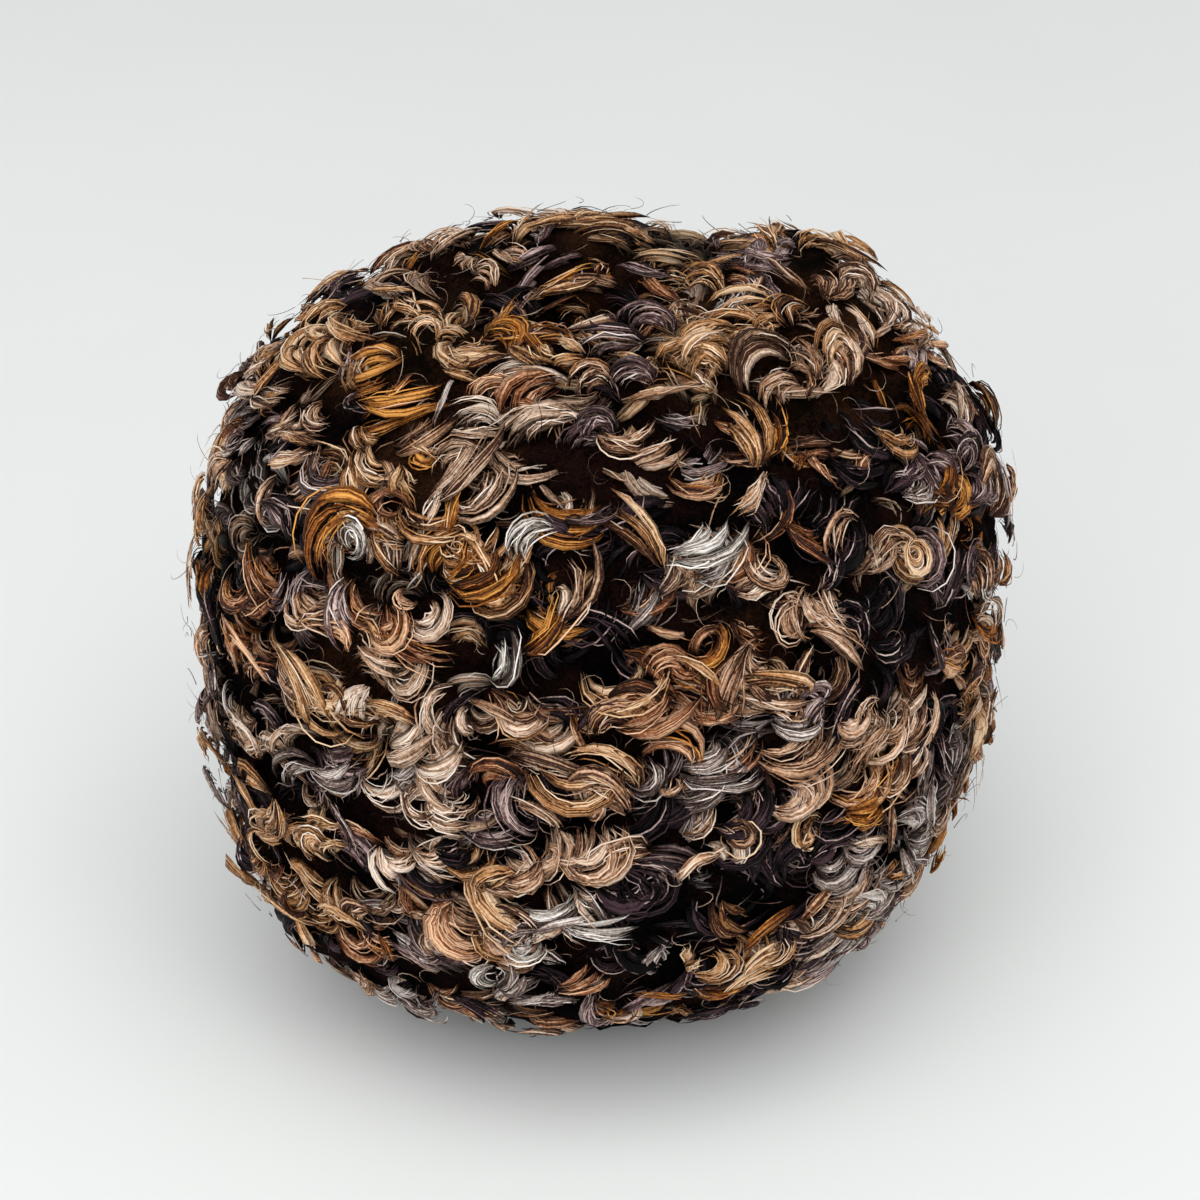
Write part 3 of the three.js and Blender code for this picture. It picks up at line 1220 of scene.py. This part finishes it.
def tube_mesh(batches: list[StrandBatch], name: str, form: BallForm) -> bpy.types.Object:
    """Builds one object of tapering closed tubes.

    The corners carry tone, a shade from -1 to 1, along, from 0 at the root to 1 at the tip, across, over
    the tube's width, and depth, the distance under the tips of the curls in mm. The tubes have one square
    each in the map OFBake.

    Args:
        batches: the strands, grouped by number of points.
        name: the name of the object.
        form: the ball that the strands lie on.

    Returns:
        The new object.
    """
    grid = max(1, math.ceil(math.sqrt(sum(len(batch.lines) for batch in batches))))
    points, quads, triangles, quad_maps, triangle_maps = [], [], [], [], []
    shading: dict[str, list[np.ndarray]] = {"tone": [], "along": [], "across": []}
    base, placed = 0, 0
    for batch in batches:
        count, steps = batch.lines.shape[:2]
        pattern = TubePattern(steps)
        corners, over = pattern.rings(batch)
        points.append(corners)
        run = np.repeat(np.arange(steps - 1) / (steps - 1), pattern.sides)
        shading["tone"].append(np.repeat(batch.tone, pattern.corners))
        shading["along"].append(np.tile(np.append(run, 1.0), count))
        shading["across"].append((batch.ply[:, None] * over[None, :]).ravel())
        start = (base + pattern.corners * np.arange(count))[:, None, None]
        quad, triangle = pattern.faces()
        quads.append((start + quad).reshape(-1, 4))
        triangles.append((start + triangle).reshape(-1, 3))
        cell = placed + np.arange(count)
        origin = np.stack([cell % grid, cell // grid], axis=-1)[:, None, None, :]
        quad_map, triangle_map = pattern.maps()
        quad_maps.append(((origin + quad_map) / grid).reshape(-1, 2))
        triangle_maps.append(((origin + triangle_map) / grid).reshape(-1, 2))
        base += pattern.corners * count
        placed += count
    vertices = np.concatenate(points)
    outward = vertices - form.centre
    reach = np.linalg.norm(outward, axis=1)
    shading["depth"] = [form.skin(outward / reach[:, None]) - reach]
    four, three = np.concatenate(quads), np.concatenate(triangles)
    corners = np.concatenate([four.ravel(), three.ravel()])
    starts = np.concatenate([4 * np.arange(len(four)), 4 * len(four) + 3 * np.arange(len(three))])
    mesh = bpy.data.meshes.new(name)
    mesh.vertices.add(len(vertices))
    mesh.vertices.foreach_set("co", (vertices * MM).ravel())
    mesh.loops.add(len(corners))
    mesh.loops.foreach_set("vertex_index", corners.astype(np.int32))
    mesh.polygons.add(len(starts))
    mesh.polygons.foreach_set("loop_start", starts.astype(np.int32))
    mesh.update(calc_edges=True)
    mesh.polygons.foreach_set("use_smooth", np.ones(len(starts), dtype=bool))
    for label, values in shading.items():
        layer = mesh.attributes.new(label, "FLOAT", "POINT")
        layer.data.foreach_set("value", np.concatenate(values).astype(np.float32))
    places = np.concatenate(quad_maps + triangle_maps)
    mesh.uv_layers.new(name="OFBake").data.foreach_set("uv", places.ravel().astype(np.float32))
    mesh.validate()
    return place_object(name, mesh)


# Pieces of the ball


def dress(piece: bpy.types.Object, material: bpy.types.Material) -> None:
    """Gives a piece its finish and its body, and reports it.

    Args:
        piece: the piece.
        material: its finish.
    """
    piece.data.materials.append(material)
    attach(piece, BODY)
    faces = sum(len(polygon.vertices) - 2 for polygon in piece.data.polygons)
    LOG.info("piece %s: %d triangles", piece.name, faces)


@dataclass
class WoundCore:
    """The dark wound core under the curls. It stands for the solid ball.

    sunk is its depth under the tips of the curls, less end_lift on the top and the underside. fuzz and
    fuzz_lengths are the height and the lengths of its unevenness. side_width is how wide the six sides of
    its map are taken, so that neighbours overlap by a little.
    """

    form: BallForm
    swells: Swells
    dyeing: Dyeing
    # Its dark finish is partly painted shade, as the core shows only deep between the curls.
    finish: ShadedDarkWool = ShadedDarkWool()
    detail: int = 6
    sunk: float = 3.4
    end_lift: float = 0.3
    furrow_part: float = 0.7
    fuzz: float = 0.45
    fuzz_lengths: tuple[float, float] = (3.1, 1.7)
    foot: float = 0.3
    side_width: float = 2.16
    map_margin: float = 0.02

    def directions(self) -> tuple[np.ndarray, bpy.types.Mesh]:
        """Makes a sphere of even triangles.

        Returns:
            The direction of each corner, and the mesh.
        """
        shape = bmesh.new()
        bmesh.ops.create_icosphere(shape, subdivisions=self.detail, radius=1.0)
        mesh = bpy.data.meshes.new("wound_core")
        shape.to_mesh(mesh)
        shape.free()
        places = np.empty(3 * len(mesh.vertices))
        mesh.vertices.foreach_get("co", places)
        return unit(places.reshape(-1, 3)), mesh

    def side_map(self, faces: np.ndarray) -> np.ndarray:
        """Lays the faces out on six sides, as on those of a box.

        Args:
            faces: the directions of each triangle's corners.

        Returns:
            The place of each corner in the map.
        """
        middle = faces.mean(axis=1)
        main = np.abs(middle).argmax(axis=1)
        row = np.arange(len(faces))
        positive = middle[row, main] > 0.0
        others = np.array([[1, 2], [2, 0], [0, 1]])[main]
        flat = np.take_along_axis(faces, others[:, None, :].repeat(3, axis=1), axis=2)
        flat = flat / np.abs(faces[row, :, main])[:, :, None]
        flat = np.clip(0.5 + flat / self.side_width, 0.0, 1.0)
        flat = flat * (1.0 - 2.0 * self.map_margin) + self.map_margin
        cell = np.stack([main, positive.astype(int)], axis=1)[:, None, :]
        return (flat + cell) / np.array([3.0, 2.0])

    def build(self) -> bpy.types.Object:
        """Builds the core with its turns and its map.

        Returns:
            The core.
        """
        directions, mesh = self.directions()
        full = self.form.skin(directions) + self.swells.raised(directions)
        points = directions * full[:, None]
        long, short = self.fuzz_lengths
        rough = self.fuzz * (flow(points, long, 5) + flow(points, short, 6))
        furrow = self.form.furrow_depth - np.minimum(self.form.rows(directions), self.form.furrow_depth)
        end = np.clip((np.abs(directions[:, 2]) - 0.45) / 0.25, 0.0, 1.0)
        reach = full - self.sunk + self.end_lift * end - self.furrow_part * furrow + rough
        placed = directions * reach[:, None] + self.form.centre
        placed[:, 2] = np.maximum(placed[:, 2], self.foot)
        mesh.vertices.foreach_set("co", (placed * MM).ravel())
        corners = np.empty(len(mesh.loops), dtype=np.int32)
        mesh.loops.foreach_get("vertex_index", corners)
        places = self.side_map(directions[corners].reshape(-1, 3, 3))
        mesh.uv_layers.new(name="OFBake").data.foreach_set("uv", places.reshape(-1).astype(np.float32))
        mesh.polygons.foreach_set("use_smooth", np.ones(len(mesh.polygons), dtype=bool))
        layer = mesh.attributes.new("pale", "FLOAT", "POINT")
        layer.data.foreach_set("value", self.dyeing.pale(directions).astype(np.float32))
        mesh.update()
        core = place_object("wound_core", mesh)
        dress(core, self.finish.make())
        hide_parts(NODE)
        return core


@dataclass
class CurlCover:
    """The locks of curled yarn that cover the ball, in rows along its turns.

    Each turn is cut into stretches, which take the dye, the heading and the height together. spacing is
    the step from lock to lock along a turn and stray their scatter across it, in turns. A share of the
    locks keep their stretch's dye, turn over or stand proud, and a share of the stretches turn over.
    Locks lie lower off the crown of a turn, by crown_fall, and near the floor, by floor_fall, from
    floor_reach down over floor_blend. On the top more of them are fans and tufts, and all lean up.

    radius is the ball's usual one. Headings change by heading_swing radians over heading_length, and
    stretch_stray and lock_stray are each one's own. lumps is how uneven the tops of the stretches are,
    within lump_limits, and unevenness how far a lock may lie under its stretch.
    """

    form: BallForm
    dyeing: Dyeing
    maker: CurlMaker
    curls: tuple[PlacedCurl, ...]
    swells: Swells
    spacing: float = 1.1
    stray: float = 0.24
    stretch: float = 6.5
    own_dye: float = 0.62
    turned_over: float = 0.14
    turned_stretches: float = 0.27
    proud: float = 0.12
    crown_fall: float = 2.1
    floor_fall: float = 1.8
    top_tufts: float = 0.4
    top_lean: float = 10.0
    floor_reach: float = 12.0
    floor_blend: float = 8.0
    radius: float = 50.0
    heading_length: float = 24.0
    heading_swing: float = 0.5
    stretch_stray: float = 0.55
    lock_stray: float = 0.6
    lumps: float = 0.75
    lump_limits: tuple[float, float] = (-1.6, 1.0)
    unevenness: float = 1.7
    sizes: tuple[float, float] = (0.72, 1.1)
    seed: int = 20

    def sites(self, dice: np.random.Generator) -> tuple[np.ndarray, np.ndarray, np.ndarray]:
        """Spreads places along the turns of every lay, few of them under the ball.

        Args:
            dice: the source of chances.

        Returns:
            Their directions from the centre, how far each is from the crown of its turn, from 0 to 1, and
            the number of the stretch that each is on.
        """
        found, crowns, numbers = [], [], []
        stretches = 0
        for number, lay in enumerate(self.form.lays):
            for turn in range(int(round((lay.end - lay.start) / lay.pitch)) + 1):
                lean = math.radians(lay.start + lay.pitch * turn)
                girth = FULL_TURN * self.radius * max(0.1, math.sin(lean))
                count = max(4, int(round(girth / self.spacing)))
                part = (np.arange(count) + dice.uniform(-0.6, 0.6, count)) / count
                off = np.clip(dice.normal(0.0, self.stray, count), -0.5, 0.5)
                directions = unit(lay.point(np.full(count, float(turn)) + off, part * FULL_TURN - math.pi))
                kept = np.ones(count, dtype=bool)
                for over in self.form.lays[number + 1 :]:
                    kept &= over.place(directions)[1] < 0.1
                if lay.lift > 0.0:
                    kept &= lay.place(directions)[1] > -0.2
                kept &= (self.form.heights(directions) > 2.0) | (dice.random(count) < 0.3)
                cuts = np.sort(dice.random(max(2, int(girth / self.stretch))))
                found.append(directions[kept])
                crowns.append(np.abs(off[kept]) * 2.0)
                numbers.append(stretches + np.searchsorted(cuts, part[kept]))
                stretches += len(cuts) + 1
        return np.concatenate(found), np.concatenate(crowns), np.concatenate(numbers)

    def plan(self) -> list[Lock]:
        """Plans the locks: a place, a form, a shade, a heading and a height for each.

        Returns:
            The locks along the turns, and then the placed ones.
        """
        dice = np.random.default_rng(self.seed)
        directions, crowns, numbers = self.sites(dice)
        used, where = np.unique(numbers, return_inverse=True)
        middles = unit(np.stack([directions[where == number].mean(axis=0) for number in range(len(used))]))
        shades = self.dyeing.choose(middles, dice)
        odd = self.dyeing.choose(directions, dice)
        headings = self.heading_swing * flow(middles * self.radius, self.heading_length, self.seed + 5)
        headings += dice.normal(0.0, self.stretch_stray, len(used))
        headings += math.pi * (dice.random(len(used)) < self.turned_stretches)
        lumps = np.clip(dice.normal(0.0, self.lumps, len(used)), *self.lump_limits)
        styles = list(RECIPES)
        shares = np.array([recipe.share for recipe in RECIPES.values()])
        picks = dice.choice(len(styles), size=len(directions), p=shares / shares.sum())
        raised = self.swells.raised(directions)
        low = (self.floor_reach - self.form.heights(directions)) / self.floor_blend
        raised -= self.floor_fall * np.clip(low, 0.0, 1.0)
        upper = uplift(directions)
        locks = []
        for place, direction in enumerate(directions):
            style, number = styles[picks[place]], where[place]
            if dice.random() < self.top_tufts * upper[place]:
                style = FAN if dice.random() < 0.5 else TUFT
            shade = shades[number] if dice.random() < self.own_dye else odd[place]
            heading = headings[number] + dice.normal(0.0, self.lock_stray)
            heading += math.pi if dice.random() < self.turned_over else 0.0
            top = lumps[number] - dice.uniform(0.0, self.unevenness)
            top -= self.crown_fall * crowns[place] ** 1.5
            if dice.random() < self.proud:
                top = min(lumps[number], 0.6) + dice.uniform(0.0, 0.7)
            top += raised[place] - DYES[shade].sunk
            size = dice.uniform(*self.sizes)
            sign = float(dice.choice([-1.0, 1.0])) if style is WAVE else 1.0
            lean = self.top_lean * upper[place]
            locks.append(Lock(style, shade, direction, heading, size, top, sign, lean))
        for curl in self.curls:
            direction = self.dyeing.view.direction_at(curl.x, curl.y, self.form)
            top = curl.top + self.swells.raised(direction[None, :])[0]
            lean = self.top_lean * uplift(direction[None, :])[0]
            heading = math.radians(curl.heading)
            locks.append(Lock(curl.style, curl.shade, direction, heading, curl.size, top, upright=lean))
        LOG.info("locks: %d on %d stretches", len(locks), len(used))
        return locks

    def build(self) -> list[bpy.types.Object]:
        """Builds the locks.

        Returns:
            One piece for each shade.
        """
        dice = np.random.default_rng(self.seed + 1)
        baskets = {shade: StrandBasket() for shade in Shade}
        for lock in self.plan():
            self.maker.lay(lock, dice, baskets)
        pieces = []
        for shade, basket in baskets.items():
            piece = tube_mesh(basket.batches(), f"{shade.value}_curls", self.form)
            dress(piece, DYES[shade].finish.make())
            pieces.append(piece)
        return pieces


@dataclass
class LooseFibres:
    """Fine single fibres: the frizz between the curls, or the flyaway hairs at the outline.

    Pairs are the least and the most. stand is how far a fibre leans off the ball in degrees, and top how
    far its root is over the tips of the curls. slack is how far the fibres may reach past the envelope.
    """

    name: str
    form: BallForm
    maker: CurlMaker
    swells: Swells
    finish: DyedWool
    count: int
    length: tuple[float, float]
    radius: float
    stand: tuple[float, float]
    top: tuple[float, float]
    slack: float
    seed: int
    points: int = 7

    def roots(self, dice: np.random.Generator) -> np.ndarray:
        """Spreads the fibres evenly over the ball, down to its lower side.

        Args:
            dice: the source of chances.

        Returns:
            Their directions from the centre.
        """
        golden = math.pi * (3.0 - math.sqrt(5.0))
        rise = 1.0 - 1.6 * (np.arange(self.count) + 0.5) / self.count
        level = np.sqrt(1.0 - rise**2)
        around = golden * np.arange(self.count)
        directions = np.stack([level * np.cos(around), level * np.sin(around), rise], axis=1)
        return unit(directions + dice.normal(0.0, 0.03, directions.shape))

    def build(self) -> bpy.types.Object:
        """Builds the fibres as small bent hairs.

        Returns:
            The piece that holds them.
        """
        dice = np.random.default_rng(self.seed)
        directions = self.roots(dice)
        sideways = unit(np.cross(np.array([0.0, 0.0, 1.0]), directions))
        down = np.cross(sideways, directions)
        spin = dice.uniform(0.0, FULL_TURN, self.count)
        flat = np.cos(spin)[:, None] * sideways + np.sin(spin)[:, None] * down
        turning = dice.uniform(1.0, 4.2, self.count)
        stand = np.radians(dice.uniform(*self.stand, self.count))
        part = np.linspace(0.0, 1.0, self.points)
        middle = (part[1:] + part[:-1]) / 2.0
        step = dice.uniform(*self.length, self.count)[:, None] / (self.points - 1)
        x, y = walk(turning[:, None] * (middle - 0.5), step)
        leaning = np.cos(stand)[:, None] * flat + np.sin(stand)[:, None] * directions
        other = np.cross(directions, flat)
        local = x[..., None] * leaning[:, None, :] + y[..., None] * other[:, None, :]
        skin = self.form.skin(directions) + self.swells.raised(directions)
        root = self.form.centre + directions * skin[:, None]
        over = dice.uniform(*self.top, self.count)[:, None] * directions
        lines = self.maker.settle(root[:, None, :] + local + over[:, None, :], self.slack)
        radius = self.radius * dice.uniform(0.8, 1.3, self.count)[:, None] * (1.0 - 0.6 * part)[None, :]
        tone = np.clip(dice.normal(0.0, 0.7, self.count), -1.0, 1.0)
        batch = StrandBatch(lines, radius, tone, np.ones_like(radius), directions, np.ones(self.count))
        piece = tube_mesh([batch], self.name, self.form)
        dress(piece, self.finish.make())
        return piece


# Studio


@dataclass(frozen=True)
class SoftLamp:
    """A soft, white, square light that faces the ball. Its place and side are in metres."""

    name: str
    place: tuple[float, float, float]
    side: float
    watts: float


@dataclass
class Studio:
    """The pale board, the soft lights and the camera. The lamps' aim is in metres."""

    view: Viewpoint
    board: PaintedBoard = PaintedBoard()
    board_side: float = 6000.0
    lamps: tuple[SoftLamp, ...] = (
        SoftLamp("overhead_light", (0.05, -0.6, 1.0), 1.2, 9.7),
        SoftLamp("front_light", (-0.4, -1.3, 0.6), 1.0, 7.5),
    )
    lamp_aim: tuple[float, float, float] = (0.0, 0.0, 0.05)
    air: str = "#F4F6F6"
    air_strength: float = 0.56

    def floor(self) -> bpy.types.Object:
        """Makes the board that the ball stands on.

        Returns:
            The board.
        """
        half = self.board_side * MM / 2.0
        corners = [(-half, -half, 0.0), (half, -half, 0.0), (half, half, 0.0), (-half, half, 0.0)]
        mesh = bpy.data.meshes.new("board")
        mesh.from_pydata(corners, [], [(0, 1, 2, 3)])
        board = place_object("board", mesh)
        mesh.materials.append(self.board.make())
        return board

    def light(self, lamp: SoftLamp) -> None:
        """Hangs a lamp.

        Args:
            lamp: the lamp to hang.
        """
        data = bpy.data.lights.new(lamp.name, "AREA")
        data.shape = "SQUARE"
        data.size = lamp.side
        data.energy = lamp.watts
        holder = place_object(lamp.name, data)
        holder.location = lamp.place
        aim = Vector(self.lamp_aim) - Vector(lamp.place)
        holder.rotation_euler = aim.to_track_quat("-Z", "Y").to_euler()

    def camera(self) -> None:
        """Sets the camera at the photograph's place and angle."""
        position, ahead, _, _ = self.view.place()
        lens = bpy.data.cameras.new("camera")
        lens.sensor_width = 36.0
        lens.sensor_fit = "HORIZONTAL"
        lens.lens = lens.sensor_width / 2.0 * self.view.distance / self.view.half_width
        lens.clip_start, lens.clip_end = 0.01, 50.0
        holder = place_object("camera", lens)
        holder.location = tuple(position * MM)
        holder.rotation_euler = Vector(ahead).to_track_quat("-Z", "Y").to_euler()
        bpy.context.scene.camera = holder

    def build(self) -> None:
        """Builds the studio."""
        self.floor()
        self.camera()
        for lamp in self.lamps:
            self.light(lamp)
        world = bpy.data.worlds.new("studio_air")
        world.use_nodes = True
        background = next(node for node in world.node_tree.nodes if node.type == "BACKGROUND")
        background.inputs["Color"].default_value = linear(self.air)
        background.inputs["Strength"].default_value = self.air_strength
        bpy.context.scene.world = world
        bpy.context.scene.view_settings.view_transform = "Standard"
        bpy.context.scene.view_settings.look = "None"


def main() -> None:
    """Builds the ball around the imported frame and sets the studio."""
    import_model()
    form = BallForm()
    view = Viewpoint()
    maker = CurlMaker(form)
    swells = Swells(form, view, SWELLS)
    dyeing = Dyeing(form, view, STRETCHES)
    WoundCore(form, swells, dyeing).build()
    CurlCover(form, dyeing, maker, CURLS, swells).build()
    LooseFibres(
        "frizz_fibres", form, maker, swells, DyedWool("frizz_brown_wool", "#220E0A", "#6B4E40", "#C4A890"),
        count=1000, length=(3.0, 6.5), radius=0.06, stand=(0.0, 25.0), top=(-2.5, 0.0), slack=1.5, seed=71,
    ).build()
    LooseFibres(
        "flyaway_hairs", form, maker, swells, DyedWool("flyaway_brown_wool", "#2A1C18", "#6B5143", "#B89C84"),
        count=200, length=(3.0, 6.0), radius=0.045, stand=(10.0, 60.0), top=(-0.8, 0.2), slack=2.4, seed=83,
    ).build()
    Studio(view).build()
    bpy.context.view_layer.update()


if __name__ == "__main__":
    main()
